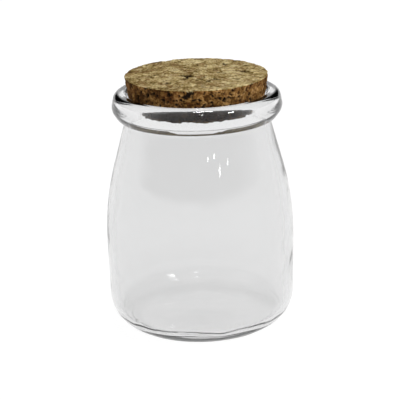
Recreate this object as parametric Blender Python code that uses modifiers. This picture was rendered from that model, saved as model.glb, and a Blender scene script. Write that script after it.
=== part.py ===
"""Small clear glass condiment jar with a tapered cork stopper pushed into its mouth.

Two turned solids in metres, +Z up, standing on the origin:
  glass_jar     one hollow piece of glass, with a foot, a rounded heel, a body that narrows
                to a neck, and a thick rolled rim
  cork_stopper  a tapered plug of pressed cork that sits in the rim
"""

import math

import bmesh
import bpy
from mathutils import Vector

MM = 0.001

# The jar's outside.
JAR_HEIGHT = 74.4 * MM
BODY_RADIUS = 29.4 * MM
SHOULDER_HEIGHT = 39.5 * MM  # where the upright side and the taper to the neck would meet
SHOULDER_ROUND = 84.0 * MM
HEEL_RADIUS = 28.6 * MM  # the side leans in a little towards the heel
HEEL_ROUND = 10.7 * MM
FOOT_INNER_RADIUS = 15.6 * MM  # inner edge of the flat ring that the jar stands on
PUNT_HEIGHT = 0.9 * MM  # how far the underside is dished at its centre

# The neck and the rolled rim.
NECK_RADIUS = 22.1 * MM
NECK_HEIGHT = 66.15 * MM
NECK_ROUND = 0.3 * MM
RIM_UNDER_RADIUS = 24.25 * MM  # lower edge of the rim, which turns in almost level to the neck
RIM_UNDER_HEIGHT = 66.25 * MM
RIM_UNDER_ROUND = 2.2 * MM
RIM_SIDE_RADIUS = 26.35 * MM
RIM_SIDE_HEIGHT = 69.4 * MM
RIM_ROUND = 3.75 * MM
LIP_RADIUS = 25.25 * MM
LIP_ROUND = 2.2 * MM

# The jar's inside.
WALL = 2.5 * MM
FLOOR_EDGE_HEIGHT = 2.8 * MM
FLOOR_CENTRE_HEIGHT = 3.6 * MM
FLOOR_ROUND = 8.0 * MM  # where the floor turns up into the wall
BORE_BOTTOM = 65.8 * MM  # the neck is narrowest inside at this height
BORE_ROUND = 3.0 * MM
MOUTH_RADIUS = 21.55 * MM
MOUTH_ROUND = 1.1 * MM
MOUTH_TAPER = 0.16  # radius gained for each unit of height, in the mouth and on the stopper

# The stopper.
CORK_TOP = 79.5 * MM
CORK_BOTTOM = 69.15 * MM
CORK_EDGE_ROUND = 0.5 * MM
FIT_GAP = 0.3 * MM  # between the stopper and the mouth

AROUND = 64  # flat faces in one turn
DOME_STEPS = 4
SHARP_ANGLE = math.radians(35)
MERGE_DISTANCE = 0.01 * MM

PART_NAME = "condiment_jar"


def clear_scene():
    for item in list(bpy.context.scene.objects):
        bpy.data.objects.remove(item, do_unlink=True)


def new_collection(name):
    collection = bpy.data.collections.new(name)
    bpy.context.scene.collection.children.link(collection)
    return collection


def clear_glass():
    material = bpy.data.materials.new("clear_glass")
    material.use_nodes = True
    shader = material.node_tree.nodes["Principled BSDF"]
    shader.inputs["Base Color"].default_value = (0.93, 0.94, 0.94, 1.0)
    shader.inputs["Roughness"].default_value = 0.02
    shader.inputs["Metallic"].default_value = 0.0
    shader.inputs["Transmission Weight"].default_value = 1.0
    shader.inputs["IOR"].default_value = 1.52
    return material


def pressed_cork():
    material = bpy.data.materials.new("pressed_cork")
    material.use_nodes = True
    shader = material.node_tree.nodes["Principled BSDF"]
    shader.inputs["Base Color"].default_value = (0.30, 0.20, 0.09, 1.0)
    shader.inputs["Roughness"].default_value = 0.9
    shader.inputs["Metallic"].default_value = 0.0
    return material


def corner_arc(before, corner, after, radius, steps):
    """Points of the arc of this radius that rounds off one corner of an outline."""
    to_before = (before - corner).normalized()
    to_after = (after - corner).normalized()
    half_angle = to_before.angle(to_after) / 2
    centre = corner + (to_before + to_after).normalized() * (radius / math.sin(half_angle))
    spoke = corner + to_before * (radius / math.tan(half_angle)) - centre
    last_spoke = corner + to_after * (radius / math.tan(half_angle)) - centre
    clockwise_turn = spoke.angle_signed(last_spoke)
    points = []
    for step in range(steps + 1):
        angle = -clockwise_turn * step / steps
        cosine = math.cos(angle)
        sine = math.sin(angle)
        turned = Vector((spoke.x * cosine - spoke.y * sine, spoke.x * sine + spoke.y * cosine))
        points.append(centre + turned)
    return points


def rounded_outline(corners):
    """Outline through corners given as (radius, height) or (radius, height, round, steps)."""
    places = [Vector(corner[:2]) for corner in corners]
    outline = []
    for index, corner in enumerate(corners):
        if len(corner) == 2:
            outline.append(places[index])
        else:
            neighbours = places[index - 1], places[index], places[index + 1]
            outline.extend(corner_arc(*neighbours, *corner[2:]))
    return outline


def dome(edge_radius, edge_height, centre_height):
    """Points of a shallow dome, from its centre on the axis to just inside its edge."""
    points = []
    for step in range(DOME_STEPS):
        share = step / DOME_STEPS
        rise = math.cos(share * math.pi / 2) ** 2
        height = edge_height + (centre_height - edge_height) * rise
        points.append(Vector((edge_radius * share, height)))
    return points


def turned_solid(name, outline, material, collection):
    """A solid turned round Z from an outline that starts and ends on the axis."""
    profile = bmesh.new()
    points = [profile.verts.new((point.x, 0.0, point.y)) for point in outline]
    for point, following in zip(points, points[1:]):
        profile.edges.new((point, following))
    mesh = bpy.data.meshes.new(name + "_outline")
    profile.to_mesh(mesh)
    profile.free()
    solid = bpy.data.objects.new(name, mesh)
    collection.objects.link(solid)

    turn = solid.modifiers.new("turn", "SCREW")
    turn.axis = "Z"
    turn.angle = math.tau
    turn.steps = AROUND
    turn.render_steps = AROUND
    turn.use_merge_vertices = True
    turn.merge_threshold = MERGE_DISTANCE

    graph = bpy.context.evaluated_depsgraph_get()
    turned_mesh = bpy.data.meshes.new_from_object(solid.evaluated_get(graph))
    turned_mesh.name = name
    turned_mesh.materials.append(material)
    turned_mesh.shade_smooth()
    turned_mesh.set_sharp_from_angle(angle=SHARP_ANGLE)
    solid.modifiers.clear()
    solid.data = turned_mesh
    bpy.data.meshes.remove(mesh)
    return solid


def mouth_radius(height):
    """Radius of the tapered mouth at a height, taken up to where its side would meet the lip."""
    return MOUTH_RADIUS - MOUTH_TAPER * (JAR_HEIGHT - height)


def build_glass_jar(collection):
    """The jar: up the inside from the floor, over the rim, down the outside, under the foot."""
    floor_edge = HEEL_RADIUS - WALL - FLOOR_ROUND
    outline = dome(floor_edge, FLOOR_EDGE_HEIGHT, FLOOR_CENTRE_HEIGHT)
    outline += rounded_outline(
        [
            (floor_edge - WALL, FLOOR_EDGE_HEIGHT),
            (HEEL_RADIUS - WALL, FLOOR_EDGE_HEIGHT, FLOOR_ROUND, 8),
            (BODY_RADIUS - WALL, SHOULDER_HEIGHT, SHOULDER_ROUND, 6),
            (mouth_radius(BORE_BOTTOM), BORE_BOTTOM, BORE_ROUND, 3),
            (MOUTH_RADIUS, JAR_HEIGHT, MOUTH_ROUND, 4),
            (LIP_RADIUS, JAR_HEIGHT, LIP_ROUND, 4),
            (RIM_SIDE_RADIUS, RIM_SIDE_HEIGHT, RIM_ROUND, 5),
            (RIM_UNDER_RADIUS, RIM_UNDER_HEIGHT, RIM_UNDER_ROUND, 4),
            (NECK_RADIUS, NECK_HEIGHT, NECK_ROUND, 1),
            (BODY_RADIUS, SHOULDER_HEIGHT, SHOULDER_ROUND, 6),
            (HEEL_RADIUS, 0.0, HEEL_ROUND, 8),
            (FOOT_INNER_RADIUS, 0.0),
        ]
    )[1:]
    outline += reversed(dome(FOOT_INNER_RADIUS, 0.0, PUNT_HEIGHT))
    return turned_solid("glass_jar", outline, clear_glass(), collection)


def cork_radius(height):
    """Radius of the stopper at a height, set by the gap that it keeps to the mouth's side."""
    return mouth_radius(height) - FIT_GAP * math.hypot(1.0, MOUTH_TAPER)


def build_cork_stopper(collection):
    """The stopper: a taper with a flat top and bottom and slightly worn edges."""
    outline = rounded_outline(
        [
            (0.0, CORK_TOP),
            (cork_radius(CORK_TOP), CORK_TOP, CORK_EDGE_ROUND, 2),
            (cork_radius(CORK_BOTTOM), CORK_BOTTOM, CORK_EDGE_ROUND, 2),
            (0.0, CORK_BOTTOM),
        ]
    )
    return turned_solid("cork_stopper", outline, pressed_cork(), collection)


clear_scene()
jar_parts = new_collection(PART_NAME)
build_glass_jar(jar_parts)
build_cork_stopper(jar_parts)
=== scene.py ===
"""The looks of the glass condiment jar with its pressed-cork stopper.

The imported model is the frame. A finely spun glass jar and a stopper with modelled cork granules
stand in for its two faceted solids, on a pale floor, lit as for a plain product photograph.
"""

import math
import random

import bmesh
import bpy
from mathutils import Matrix, Vector, kdtree, noise


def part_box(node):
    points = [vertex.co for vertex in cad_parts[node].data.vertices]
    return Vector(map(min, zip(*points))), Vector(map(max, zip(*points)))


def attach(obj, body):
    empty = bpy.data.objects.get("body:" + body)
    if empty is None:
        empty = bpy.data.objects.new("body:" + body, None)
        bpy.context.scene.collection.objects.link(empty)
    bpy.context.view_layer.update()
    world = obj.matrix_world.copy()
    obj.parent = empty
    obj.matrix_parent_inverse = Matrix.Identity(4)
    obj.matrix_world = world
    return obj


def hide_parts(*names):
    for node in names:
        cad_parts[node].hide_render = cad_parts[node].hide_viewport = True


MM = 0.001

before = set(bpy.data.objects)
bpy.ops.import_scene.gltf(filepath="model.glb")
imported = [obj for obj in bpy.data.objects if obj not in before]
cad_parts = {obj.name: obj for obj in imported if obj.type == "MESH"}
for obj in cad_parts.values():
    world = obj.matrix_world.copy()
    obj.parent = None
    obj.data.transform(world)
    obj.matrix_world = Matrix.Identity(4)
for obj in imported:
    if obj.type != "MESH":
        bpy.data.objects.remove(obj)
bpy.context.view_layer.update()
jar_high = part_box("glass_jar")[1]
cork_low, cork_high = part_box("cork_stopper")

# The jar's outline. Its sizes are the solid's, except where a comment says otherwise.
JAR_HEIGHT = jar_high.z
BODY_RADIUS = 29.4 * MM
SHOULDER_HEIGHT = 39.5 * MM
SHOULDER_ROUND = 84.0 * MM
HEEL_RADIUS = 28.6 * MM
HEEL_ROUND = 10.7 * MM
FOOT_INNER_RADIUS = 15.6 * MM
PUNT_HEIGHT = 0.4 * MM  # the solid's is 0.9 mm; flatter, the middle stays clear
NECK_RADIUS = 22.1 * MM
NECK_HEIGHT = 66.15 * MM
NECK_ROUND = 0.3 * MM
RIM_UNDER_RADIUS = 24.25 * MM
RIM_UNDER_HEIGHT = 66.25 * MM
RIM_UNDER_ROUND = 2.2 * MM
RIM_SIDE_RADIUS = 26.35 * MM
RIM_SIDE_HEIGHT = 69.4 * MM
RIM_ROUND = 3.75 * MM
LIP_RADIUS = 25.25 * MM
LIP_ROUND = 2.2 * MM
WALL = 2.5 * MM
FLOOR_EDGE_HEIGHT = 2.8 * MM
FLOOR_CENTRE_HEIGHT = 3.6 * MM
BORE_BOTTOM = 65.8 * MM
BORE_ROUND = 3.0 * MM
MOUTH_RADIUS = 21.55 * MM
MOUTH_ROUND = 1.1 * MM
MOUTH_TAPER = 0.16
HEEL_INSIDE_ROUND = 7.0 * MM  # the solid's is 8.0 mm; tighter, the heel looks as heavy as it is
GLASS_STEPS = 224  # faces in one turn
GLASS_CELL = 1.3 * MM  # longest step along its outline
FOOT_CELL = 0.28 * MM  # the same below the foot line
FOOT_LINE = 12.0 * MM

# The glass's unevenness, which has faded out at the rim and, outside, at the heel.
CORE_SHIFT = -0.22 * MM  # how far the inside sits off the axis, along X
INSIDE_WAVE = 0.11 * MM
HEEL_CALM = 0.15  # share of it that is left at the heel
FLOOR_WAVE = 0.03 * MM
OUTSIDE_WAVE = 0.02 * MM
CALM_NECK = NECK_HEIGHT - 4.0 * MM
WAVY_NECK = NECK_HEIGHT - 18.0 * MM
CALM_HEEL = 8.0 * MM
WAVY_HEEL = 16.0 * MM
CALM_FLOOR_RADIUS = 19.0 * MM
WAVY_FLOOR_RADIUS = 14.0 * MM
HEEL_MARK_TOP = 6.0 * MM  # below this a faint mark, left by the first mould, wanders outside
HEEL_MARK_RADIUS = 23.6 * MM
HEEL_MARK_WANDER = 0.9 * MM
HEEL_MARK_DEPTH = 0.15 * MM
HEEL_RIDGE_HEIGHT = 5.3 * MM  # a low ridge inside, where the heel turns up into the wall
HEEL_RIDGE_WANDER = 0.6 * MM
HEEL_RIDGE_RISE = 0.25 * MM
HEEL_MARK_WIDTH = 0.4 * MM  # of the mark and the ridge

# The stopper is pressed from cork granules, then cut and sanded.
CORK_SEED = 4
CORK_CELL = 0.25 * MM  # spacing of its mesh points
CORK_STEPS = 480
CORK_EDGE_ROUND = 0.3 * MM
GRANULE = 1.9 * MM  # usual spacing of the granules
GRANULE_SWELL = 0.55 * MM  # how much further the largest reach than the smallest
GRANULE_BEND = 0.55 * MM  # how far their edges stray from straight
CLEFT_WIDTH = 0.14 * MM
CLEFT_DEPTH = 0.16 * MM
BARK_SHARE = 0.14  # share of granules with dark bark in them, seen on the cut side
LOST_DEPTH = 0.9 * MM  # where a granule has fallen out
LOST_EDGE = 0.35 * MM
PIT_EDGE = 0.3 * MM  # depth at which a pit's painted shade is at full strength
CRUMB_DEPTH = 0.2 * MM
CRUMB_SIDE_DEPTH = 0.3 * MM  # added to it on the side
COARSENESS = 0.03 * MM
SIDE_COARSENESS = 0.05 * MM
CHIP_DEPTH = 0.6 * MM
CHIP_REACH = 0.7 * MM  # how far chips run in from the stopper's two edges
MOUTH_SHADE_LINE = JAR_HEIGHT - MOUTH_ROUND  # below this the stopper's colour carries painted shade from the mouth
MOUTH_SHADE_FADE = 0.8 * MM
CORK_MARKS = ("granule_tone", "granule_russet", "seam", "pit", "cut_side", "gripped")
PITS = (  # x, y, z, radius and depth of the larger holes, in millimetres
    (-2.2, -2.5, 79.5, 1.75, 1.8),
    (-4.2, -1.6, 79.5, 0.9, 0.8),
    (-2.9, -5.0, 79.5, 0.8, 0.7),
    (-0.6, -3.4, 79.5, 0.8, 0.8),
    (-3.1, 4.3, 79.5, 0.7, 0.6),
    (-8.4, -10.7, 79.5, 1.2, 1.2),
    (-9.8, -11.7, 79.5, 0.7, 0.7),
    (-10.9, -12.7, 79.5, 0.6, 0.6),
    (14.3, 2.2, 79.5, 1.2, 1.1),
    (15.5, 0.9, 79.5, 0.8, 0.7),
    (16.4, -0.9, 79.5, 0.8, 0.8),
    (3.5, -9.6, 79.5, 1.0, 1.0),
    (5.3, -7.0, 79.5, 1.0, 0.9),
    (6.6, -8.0, 79.5, 0.8, 0.8),
    (12.2, -8.1, 79.5, 0.9, 0.9),
    (-13.5, -3.0, 79.5, 0.7, 0.6),
    (-14.6, 8.4, 79.5, 0.8, 0.7),
    (8.9, 11.8, 79.5, 0.9, 0.8),
    (-1.9, -21.8, 79.0, 1.1, 1.2),
    (-2.6, -21.6, 77.9, 0.8, 0.9),
    (-3.8, -21.4, 77.2, 0.6, 0.6),
    (-8.4, -20.1, 78.0, 0.6, 0.8),
    (-16.7, -13.8, 77.6, 0.7, 0.9),
    (-17.7, -12.0, 76.0, 0.6, 0.8),
    (-14.7, -15.8, 76.9, 0.7, 1.0),
    (-12.8, -17.6, 77.9, 0.5, 0.7),
    (8.3, -19.8, 76.0, 0.7, 0.9),
    (7.0, -20.3, 76.4, 0.5, 0.6),
    (9.6, -19.4, 76.4, 0.5, 0.6),
    (4.4, -20.9, 75.5, 0.5, 0.5),
    (-9.9, -19.0, 76.0, 0.6, 0.7),
    (-6.1, -20.3, 75.0, 0.5, 0.6),
    (12.7, -17.3, 76.2, 0.5, 0.6),
    (21.2, 3.0, 77.4, 0.8, 0.9),
    (-19.5, 8.5, 76.8, 0.7, 0.8),
    (6.5, 20.3, 77.2, 0.8, 0.9),
)

# The studio.
FLOOR_SIZE = 8.0
FLOOR_DROP = 0.1 * MM  # below the foot, so that their faces don't coincide
LAMP_AIM = Vector((0.0, 0.0, 0.04))
LAMPS = (  # name, place, size across and up in metres, and power in watts
    ("left_softbox", (-1.2, -0.4, 0.9), (0.9, 0.9), 1.0),
    ("right_softbox", (1.0, -0.85, 0.9), (0.24, 0.24), 10.5),
    ("front_softbox", (0.17, -1.30, 0.95), (0.16, 0.12), 1.8),
    ("top_softbox", (0.1, -0.1, 1.5), (0.3, 0.3), 11.4),
    ("window_0", (0.336, -1.421, 0.421), (0.06, 0.005), 0.014),
    ("window_1", (0.559, -1.349, 0.413), (0.06, 0.005), 0.014),
    ("window_2", (0.969, -1.092, 0.369), (0.06, 0.005), 0.014),
    ("window_3", (0.699, -1.282, 0.387), (0.06, 0.005), 0.014),
)

# The camera, found from the photo's outline of the jar.
PHOTO_WIDTH = 400
FOCAL_PIXELS = 1659.2
SENSOR_WIDTH = 36.0
CAMERA_DISTANCE = 515.8 * MM
CAMERA_ELEVATION = math.radians(17.57)
CAMERA_ROLL = math.radians(1.57)
CAMERA_AIM = Vector((0.13 * MM, 0.0, 39.24 * MM))


class Value:
    """A shader socket that can be used in sums, differences and products."""

    def __init__(self, socket):
        self.socket = socket

    def math(self, operation, *values):
        sockets = dict(enumerate(values))
        return add_node(self.socket.id_data, "ShaderNodeMath", {"operation": operation}, sockets)

    def __add__(self, other):
        return self.math("ADD", self, other)

    def __sub__(self, other):
        return self.math("SUBTRACT", self, other)

    def __mul__(self, other):
        return self.math("MULTIPLY", self, other)


def add_node(tree, kind, settings, sockets, output=0):
    """Add a node with its settings, then give its sockets their values or links."""
    node = tree.nodes.new(kind)
    for name, choice in settings.items():
        if name == "stops":
            while len(node.color_ramp.elements) < len(choice):
                node.color_ramp.elements.new(1.0)
            for element, (position, colour) in zip(node.color_ramp.elements, choice):
                element.position = position
                element.color = (*colour, 1.0)
        else:
            setattr(node, name, choice)
    for name, value in sockets.items():
        if isinstance(value, Value):
            tree.links.new(value.socket, node.inputs[name])
        else:
            node.inputs[name].default_value = value
    return Value(node.outputs[output])


def new_material(name):
    material = bpy.data.materials.new(name)
    material.use_nodes = True
    return material, material.node_tree, material.node_tree.nodes["Principled BSDF"]


def object_noise(tree, scale, detail):
    """Smooth noise from 0 to 1 over the piece's own space; the scale is in waves per metre."""
    place = add_node(tree, "ShaderNodeTexCoord", {}, {}, "Object")
    return add_node(
        tree, "ShaderNodeTexNoise", {}, {"Vector": place, "Scale": scale, "Detail": detail}
    )


def mixed_colour(tree, share, first, second, blend="MIX"):
    """The first colour, with this share of the second mixed in or multiplied onto it."""
    colours = [(*item, 1.0) if isinstance(item, tuple) else item for item in (first, second)]
    return add_node(
        tree,
        "ShaderNodeMix",
        {"data_type": "RGBA", "blend_type": blend},
        {0: share, 6: colours[0], 7: colours[1]},
        2,
    )


def separate(tree, vector, axis):
    return add_node(tree, "ShaderNodeSeparateXYZ", {}, {0: vector}, axis)


def ramp(tree, value, *stops):
    """A grey level from 0 to 1 that follows the value, given as pairs of value and level."""
    pairs = [(place, (level, level, level)) for place, level in stops]
    return add_node(tree, "ShaderNodeValToRGB", {"stops": pairs}, {0: value})


def clear_glass():
    """Pressed clear glass: very faintly grey in its walls, glossy, with slight unevenness."""
    material, tree, shader = new_material("clear_glass")
    shader.inputs["IOR"].default_value = 1.52
    shader.inputs["Transmission Weight"].default_value = 1.0
    place = add_node(tree, "ShaderNodeTexCoord", {}, {}, "Object")
    height = separate(tree, place, 2) * (1.0 / JAR_HEIGHT)
    outside = add_node(tree, "ShaderNodeAttribute", {"attribute_name": "outside"}, {}, "Fac")
    shade = object_noise(tree, 26.0, 2.0)
    colour = mixed_colour(tree, shade, (0.680, 0.682, 0.684), (0.725, 0.726, 0.727))
    # Only the outer surface takes the grey; towards the rim, and slightly at the heel, the glass
    # is clearer, painted light that brightens them.
    tinted = outside * ramp(tree, height, (0.04, 0.90), (0.14, 1.0), (0.88, 1.0), (0.93, 0.50))
    colour = mixed_colour(tree, tinted, (0.99, 0.99, 0.99), colour)
    tree.links.new(colour.socket, shader.inputs["Base Color"])
    roughness = object_noise(tree, 60.0, 3.0) * 0.02
    tree.links.new(roughness.socket, shader.inputs["Roughness"])
    return material


def pressed_cork():
    """Granules from pale tan to russet; painted shade in the pits and under the mouth, painted
    light towards the right, and a side both browner and darkened by painted shade.
    """
    material, tree, shader = new_material("pressed_cork")
    tone, russet, seam, pit, side, gripped = (
        add_node(tree, "ShaderNodeAttribute", {"attribute_name": name}, {}, "Fac")
        for name in CORK_MARKS
    )
    fleck = object_noise(tree, 1500.0, 4.0)
    grain = object_noise(tree, 420.0, 3.0)
    patch = object_noise(tree, 150.0, 2.0)
    place = add_node(tree, "ShaderNodeTexCoord", {}, {}, "Object")
    # Painted light: the colour grows paler towards +X, the stopper's right side, as if lit from
    # there.
    painted_light_across = separate(tree, place, 0)
    shade = tone * 0.52 + fleck * 2.20 + grain * 1.45 + patch * 0.70 + painted_light_across * 4.0 - 1.90
    stops = (
        (0.02, (0.110, 0.064, 0.014)),
        (0.34, (0.292, 0.204, 0.072)),
        (0.62, (0.455, 0.342, 0.142)),
        (1.00, (0.750, 0.630, 0.345)),
    )
    colour = add_node(tree, "ShaderNodeValToRGB", {"stops": stops}, {0: shade})
    colour = mixed_colour(tree, russet * 0.5, colour, (0.25, 0.125, 0.055))
    colour = mixed_colour(tree, seam * 0.55, colour, (0.110, 0.062, 0.024))
    speck = ramp(tree, object_noise(tree, 900.0, 2.0), (0.62, 0.0), (0.69, 1.0))
    colour = mixed_colour(tree, speck * 0.8, colour, (0.070, 0.036, 0.010))
    # The side is multiplied darker and browner: partly the cut face's own colour, partly painted
    # shade.
    colour = mixed_colour(tree, side, colour, (0.52, 0.275, 0.098), "MULTIPLY")
    # Painted shade: the stopper is darkened where it sits in the mouth, less towards its lower
    # end.
    colour = mixed_colour(tree, gripped, colour, (0.09, 0.085, 0.055), "MULTIPLY")
    # Painted shade: holes, lost granules and crumbly hollows are coloured nearly black.
    colour = mixed_colour(tree, pit, colour, (0.014, 0.007, 0.003))
    tree.links.new(colour.socket, shader.inputs["Base Color"])
    shader.inputs["Roughness"].default_value = 0.92
    shader.inputs["Specular IOR Level"].default_value = 0.12
    relief = {"Strength": 0.35, "Distance": 0.12 * MM, "Height": fleck + grain}
    bump = add_node(tree, "ShaderNodeBump", {}, relief)
    tree.links.new(bump.socket, shader.inputs["Normal"])
    return material


def corner_arc(before, corner, after, radius, steps):
    """Points of the arc of this radius that rounds off one corner of an outline."""
    to_before = (before - corner).normalized()
    to_after = (after - corner).normalized()
    half_angle = to_before.angle(to_after) / 2
    centre = corner + (to_before + to_after).normalized() * (radius / math.sin(half_angle))
    spoke = corner + to_before * (radius / math.tan(half_angle)) - centre
    last_spoke = corner + to_after * (radius / math.tan(half_angle)) - centre
    clockwise_turn = spoke.angle_signed(last_spoke)
    points = []
    for step in range(steps + 1):
        turned = spoke.copy()
        turned.rotate(Matrix.Rotation(-clockwise_turn * step / steps, 2))
        points.append(centre + turned)
    return points


def rounded_outline(corners):
    """Outline through corners given as (radius, height) or (radius, height, round, steps)."""
    places = [Vector(corner[:2]) for corner in corners]
    outline = []
    for index, corner in enumerate(corners):
        if len(corner) == 2:
            outline.append(places[index])
        else:
            neighbours = places[index - 1], places[index], places[index + 1]
            outline.extend(corner_arc(*neighbours, *corner[2:]))
    return outline


def dome(edge_radius, edge_height, centre_height, steps):
    """Points of a shallow dome, from its centre on the axis to just inside its edge."""
    points = []
    for step in range(steps):
        share = step / steps
        rise = math.cos(share * math.pi / 2) ** 2
        height = edge_height + (centre_height - edge_height) * rise
        points.append(Vector((edge_radius * share, height)))
    return points


def evenly_spaced(outline, spacing, low_spacing=None):
    """The same outline with further points, so that none are further apart than the spacing.

    A low_spacing is used instead for the part below the foot line.
    """
    points = [outline[0]]
    for point, following in zip(outline, outline[1:]):
        longest = spacing
        if low_spacing is not None and min(point.y, following.y) < FOOT_LINE:
            longest = low_spacing
        count = max(1, math.ceil((following - point).length / longest))
        points.extend(point.lerp(following, step / count) for step in range(1, count + 1))
    return points


def spun(outline, around, outside_from=None):
    """A closed shape spun round Z from an outline that starts and ends on the axis.

    With outside_from, the points from that one on are marked as the glass's outer surface.
    """
    shape = bmesh.new()
    if outside_from is not None:
        outside = shape.verts.layers.float.new("outside")
    points = [shape.verts.new((point.x, 0.0, point.y)) for point in outline]
    if outside_from is not None:
        for point in points[outside_from:]:
            point[outside] = 1.0
    edges = [shape.edges.new(pair) for pair in zip(points, points[1:])]
    bmesh.ops.spin(
        shape,
        geom=points + edges,
        cent=(0.0, 0.0, 0.0),
        axis=(0.0, 0.0, 1.0),
        angle=math.tau,
        steps=around,
        use_merge=True,
    )
    bmesh.ops.remove_doubles(shape, verts=shape.verts, dist=0.001 * MM)
    bmesh.ops.recalc_face_normals(shape, faces=shape.faces)
    return shape


def finished_piece(name, shape, material):
    mesh = bpy.data.meshes.new(name)
    shape.to_mesh(mesh)
    shape.free()
    mesh.materials.append(material)
    mesh.shade_smooth()
    piece = bpy.data.objects.new(name, mesh)
    bpy.context.scene.collection.objects.link(piece)
    return piece


def mouth_radius(height):
    return MOUTH_RADIUS - MOUTH_TAPER * (JAR_HEIGHT - height)


def share_of_way(value, start, end):
    """How much of the way from the start to the end a value has gone, from 0 to 1."""
    return min(1.0, max(0.0, (value - start) / (end - start)))


def wave(place, length):
    """Smooth noise from about -1 to 1, with waves of about this length."""
    return noise.noise(place / length)


def outside_unevenness(place, level, outward):
    """The mark under the heel and, above the heel, a slight waviness that only cuts inward."""
    if place.z < HEEL_MARK_TOP and level.length > FOOT_INNER_RADIUS:
        mark = HEEL_MARK_RADIUS + wave(level, 9.0 * MM) * HEEL_MARK_WANDER
        off_mark = (level.length - mark) / HEEL_MARK_WIDTH
        return Vector((0.0, 0.0, math.exp(-(off_mark**2)) * HEEL_MARK_DEPTH))
    depth = (wave(place, 3.2 * MM) - 1.0) * OUTSIDE_WAVE
    depth *= share_of_way(place.z, CALM_HEEL, WAVY_HEEL)
    return outward * depth * share_of_way(place.z, CALM_NECK, WAVY_NECK)


def inside_unevenness(place, level, outward):
    """Waves in the wall and floor, the ridge at the heel, and the whole inside's shift."""
    above_heel = max(HEEL_CALM, share_of_way(place.z, CALM_HEEL, WAVY_HEEL))
    wall = wave(place, 17.0 * MM) + 0.35 * wave(place, 6.0 * MM)
    offset = outward * wall * INSIDE_WAVE * above_heel + Vector((CORE_SHIFT, 0.0, 0.0))
    if place.z <= CALM_HEEL:
        floor = wave(place, 8.0 * MM) + 0.5 * wave(place, 3.5 * MM)
        floor *= share_of_way(level.length, CALM_FLOOR_RADIUS, WAVY_FLOOR_RADIUS)
        offset += Vector((0.0, 0.0, floor * FLOOR_WAVE))
    wander = wave(level, 11.0 * MM) + 0.5 * wave(level, 4.0 * MM)
    off_ridge = (place.z - HEEL_RIDGE_HEIGHT - wander * HEEL_RIDGE_WANDER) / HEEL_MARK_WIDTH
    strength = 0.75 + 0.6 * noise.noise(level / (13.0 * MM) + Vector((0.0, 0.0, 5.0)))
    rise = math.exp(-(off_ridge**2)) * strength * HEEL_RIDGE_RISE
    offset += (Vector((0.0, 0.0, 0.7)) - outward) * rise
    return offset * share_of_way(place.z, CALM_NECK, WAVY_NECK)


def glass_unevenness(place, outside):
    """How far a point of the glass lies from its ideal place."""
    level = Vector((place.x, place.y, 0.0))
    outward = level.normalized() if level.length > MM else Vector((0.0, 0.0, 0.0))
    unevenness = outside_unevenness if outside > 0.5 else inside_unevenness
    return unevenness(place, level, outward)


def make_glass():
    """The jar: up the inside from the floor, over the rim, down the outside, under the foot."""
    floor_edge = HEEL_RADIUS - WALL - HEEL_INSIDE_ROUND
    outline = dome(floor_edge, FLOOR_EDGE_HEIGHT, FLOOR_CENTRE_HEIGHT, 16)
    outline += rounded_outline(
        [
            (floor_edge - WALL, FLOOR_EDGE_HEIGHT),
            (HEEL_RADIUS - WALL, FLOOR_EDGE_HEIGHT, HEEL_INSIDE_ROUND, 18),
            (BODY_RADIUS - WALL, SHOULDER_HEIGHT, SHOULDER_ROUND, 16),
            (mouth_radius(BORE_BOTTOM), BORE_BOTTOM, BORE_ROUND, 8),
            (MOUTH_RADIUS, JAR_HEIGHT, MOUTH_ROUND, 12),
            (LIP_RADIUS, JAR_HEIGHT, LIP_ROUND, 12),
            (RIM_SIDE_RADIUS, RIM_SIDE_HEIGHT, RIM_ROUND, 14),
            (RIM_UNDER_RADIUS, RIM_UNDER_HEIGHT, RIM_UNDER_ROUND, 10),
            (NECK_RADIUS, NECK_HEIGHT, NECK_ROUND, 3),
            (BODY_RADIUS, SHOULDER_HEIGHT, SHOULDER_ROUND, 16),
            (HEEL_RADIUS, 0.0, HEEL_ROUND, 24),
            (FOOT_INNER_RADIUS, 0.0),
        ]
    )[1:]
    outline += reversed(dome(FOOT_INNER_RADIUS, 0.0, PUNT_HEIGHT, 12))
    outline = evenly_spaced(outline, GLASS_CELL, FOOT_CELL)
    lip = max(range(len(outline)), key=lambda index: outline[index].y)
    shape = spun(outline, GLASS_STEPS, lip)
    outside = shape.verts.layers.float["outside"]
    for point in shape.verts:
        point.co += glass_unevenness(point.co, point[outside])
    shape.normal_update()
    return finished_piece("jar_glass", shape, clear_glass())


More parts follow.
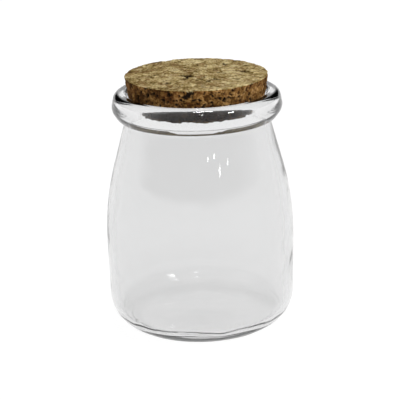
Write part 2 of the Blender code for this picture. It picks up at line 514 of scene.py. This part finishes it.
class Granules:
    """The stopper's pressed granules, scattered unevenly, with each one's size and colour."""

    def __init__(self):
        dice = random.Random(CORK_SEED)
        noise.seed_set(CORK_SEED)  # settles how the granules' edges bend
        reach = math.ceil(cork_high.x / GRANULE) + 1
        layers = math.ceil((cork_high.z - cork_low.z) / GRANULE) + 2
        middles = []
        for column in range(-reach, reach + 1):
            for row in range(-reach, reach + 1):
                for layer in range(-1, layers):
                    stray = Vector([dice.uniform(-0.5, 0.5) for axis in range(3)])
                    step = Vector((column, row, layer)) + stray
                    middles.append(step * GRANULE + Vector((0.0, 0.0, cork_low.z)))
        self.swell = [dice.random() ** 2 * GRANULE_SWELL for middle in middles]
        self.tone = [dice.random() for middle in middles]
        self.bark = [float(dice.random() < BARK_SHARE) for middle in middles]
        self.russet = [max(0.0, dice.uniform(-2.0, 1.0)) for middle in middles]
        self.loss = [max(0.0, dice.uniform(-12.0, 1.0)) for middle in middles]
        self.tree = kdtree.KDTree(len(middles))
        for index, middle in enumerate(middles):
            self.tree.insert(middle, index)
        self.tree.balance()

    def at(self, place):
        """The granule at a place, and how far the place is inside that granule's edge."""
        bent = place + noise.noise_vector(place / (1.6 * MM)) * GRANULE_BEND
        near = sorted(
            (distance - self.swell[index], index)
            for middle, index, distance in self.tree.find_n(bent, 6)
        )
        return near[0][1], (near[1][0] - near[0][0]) / 2


def pit_depth(place):
    """Depth of the larger holes at a place."""
    depth = 0.0
    for x, y, z, radius, deepest in PITS:
        reach = (place - Vector((x, y, z)) * MM).length / (radius * MM)
        reach += 0.35 * wave(place, 0.5 * MM)
        if reach < 1.0:
            depth = max(depth, deepest * MM * math.sqrt(1.0 - max(reach, 0.0) ** 2))
    return depth


def make_cork():
    """The stopper: a fine mesh whose surface is sunk at clefts, pits, lost granules and chips."""
    side_slope = MOUTH_TAPER * (cork_high.z - cork_low.z)
    corners = [
        (0.0, cork_high.z),
        (cork_high.x, cork_high.z, CORK_EDGE_ROUND, 2),
        (cork_high.x - side_slope, cork_low.z, CORK_EDGE_ROUND, 2),
        (0.0, cork_low.z),
    ]
    outline = rounded_outline(corners)
    outline = evenly_spaced(outline[:-1], CORK_CELL) + evenly_spaced(outline[-2:], GRANULE)[1:]
    shape = spun(outline, CORK_STEPS)
    layers = {name: shape.verts.layers.float.new(name) for name in CORK_MARKS}
    granules = Granules()
    shape.normal_update()
    sunk = []
    for point in shape.verts:
        place = point.co
        normal = point.normal
        side = 1.0 - min(1.0, abs(normal.z) * 1.3)
        granule, inside = granules.at(place)
        openness = share_of_way(0.5 + 0.9 * wave(place, 3.5 * MM) + 0.35 * side, 0.0, 1.0)
        seam = math.exp(-((inside / CLEFT_WIDTH) ** 2)) * openness
        loss = granules.loss[granule] * min(1.0, inside / LOST_EDGE)
        hole = pit_depth(place)
        crumb = wave(place, 0.95 * MM) + 0.7 * wave(place, 0.4 * MM)
        crumb += 0.40 * wave(place, 3.0 * MM) + 0.27 * side
        crumb = share_of_way(crumb, 0.48, 0.64)
        chip = max(0.0, wave(place, 1.9 * MM) + 0.5 * wave(place, 0.7 * MM))
        radius = math.hypot(place.x, place.y)
        edge_distance = min(
            math.hypot(radius - cork_high.x, place.z - cork_high.z),
            math.hypot(radius - cork_high.x + side_slope, place.z - cork_low.z),
        )
        sink = seam * CLEFT_DEPTH * (1.0 + side) + loss * LOST_DEPTH + hole
        sink += crumb * (CRUMB_DEPTH + CRUMB_SIDE_DEPTH * side)
        sink += (COARSENESS + SIDE_COARSENESS * side) * (1.0 + wave(place, 0.8 * MM))
        sink += chip * max(0.0, 1.0 - edge_distance / CHIP_REACH) * CHIP_DEPTH
        above_end = (place.z - cork_low.z) / (3.0 * MM)
        in_mouth = share_of_way(place.z, MOUTH_SHADE_LINE, MOUTH_SHADE_LINE - MOUTH_SHADE_FADE)
        point[layers["granule_tone"]] = granules.tone[granule] - granules.bark[granule] * side
        point[layers["granule_russet"]] = granules.russet[granule]
        point[layers["seam"]] = seam
        # How deep in a hole the point lies, which sets its painted shade.
        point[layers["pit"]] = min(1.0, loss + hole / PIT_EDGE + crumb)
        # Marks the side, whose colour is browner and also darkened by painted shade.
        point[layers["cut_side"]] = side
        # Painted shade from the mouth, strongest just under the lip and weaker at the stopper's
        # lower end.
        point[layers["gripped"]] = min(in_mouth, 0.65 + above_end)
        sunk.append((point, place - normal * sink))
    for point, place in sunk:
        point.co = place
    return finished_piece("stopper_cork", shape, pressed_cork())


def make_camera():
    camera = bpy.data.objects.new("camera", bpy.data.cameras.new("camera"))
    camera.data.sensor_width = SENSOR_WIDTH
    camera.data.lens = FOCAL_PIXELS * SENSOR_WIDTH / PHOTO_WIDTH
    rise, fall = math.sin(CAMERA_ELEVATION), math.cos(CAMERA_ELEVATION)
    back = Vector((0.0, -fall, rise))
    level_right = Vector((1.0, 0.0, 0.0))
    level_up = Vector((0.0, rise, fall))
    right = level_right * math.cos(CAMERA_ROLL) - level_up * math.sin(CAMERA_ROLL)
    up = level_right * math.sin(CAMERA_ROLL) + level_up * math.cos(CAMERA_ROLL)
    turn = Matrix((right, up, back)).transposed().to_4x4()
    camera.matrix_world = Matrix.Translation(CAMERA_AIM + back * CAMERA_DISTANCE) @ turn
    bpy.context.scene.collection.objects.link(camera)
    bpy.context.scene.camera = camera


def make_floor():
    """A plain pale floor, just under the foot."""
    bpy.ops.mesh.primitive_plane_add(size=FLOOR_SIZE, location=(0.0, 0.0, -FLOOR_DROP))
    floor = bpy.context.object
    floor.name = "floor"
    material, _, shader = new_material("pale_floor")
    shader.inputs["Base Color"].default_value = (0.08, 0.08, 0.08, 1.0)
    shader.inputs["Roughness"].default_value = 0.9
    shader.inputs["Emission Color"].default_value = (1.0, 1.0, 1.0, 1.0)
    shader.inputs["Emission Strength"].default_value = 0.98
    floor.data.materials.append(material)


def area_light(name, place, size, power):
    light = bpy.data.lights.new(name, "AREA")
    light.shape = "RECTANGLE"
    light.size, light.size_y = size
    light.energy = power
    lamp = bpy.data.objects.new(name, light)
    direction = LAMP_AIM - Vector(place)
    lamp.location = place
    lamp.rotation_euler = direction.to_track_quat("-Z", "Y").to_euler()
    bpy.context.scene.collection.objects.link(lamp)


def make_studio():
    """A dim room with a bright horizon, a lit card behind the jar, softboxes and four windows."""
    world = bpy.data.worlds.new("studio")
    bpy.context.scene.world = world
    world.use_nodes = True
    tree = world.node_tree
    tree.nodes.clear()
    direction = add_node(tree, "ShaderNodeTexCoord", {}, {}, "Generated")
    side, away, height = (separate(tree, direction, axis) for axis in range(3))
    horizon = ramp(tree, height, (0.07, 1.0), (0.14, 0.01))
    card = ramp(tree, side.math("ABSOLUTE", side), (0.14, 1.0), (0.26, 0.0))
    card = card * ramp(tree, height, (0.34, 1.0), (0.62, 0.0))
    card = card * ramp(tree, away, (0.4, 0.0), (0.6, 1.0))
    brightness = horizon.math("MAXIMUM", horizon, card)
    surface = add_node(tree, "ShaderNodeBackground", {}, {0: brightness, 1: 1.0})
    world_output = tree.nodes.new("ShaderNodeOutputWorld")
    tree.links.new(surface.socket, world_output.inputs[0])
    for lamp in LAMPS:
        area_light(*lamp)
    bpy.context.scene.view_settings.view_transform = "Standard"


glass = make_glass()
cork = make_cork()
for piece, node, slot in (
    (glass, "glass_jar", "clear_glass"),
    (cork, "cork_stopper", "pressed_cork"),
):
    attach(piece, "root")
    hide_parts(node)

make_floor()
make_studio()
make_camera()
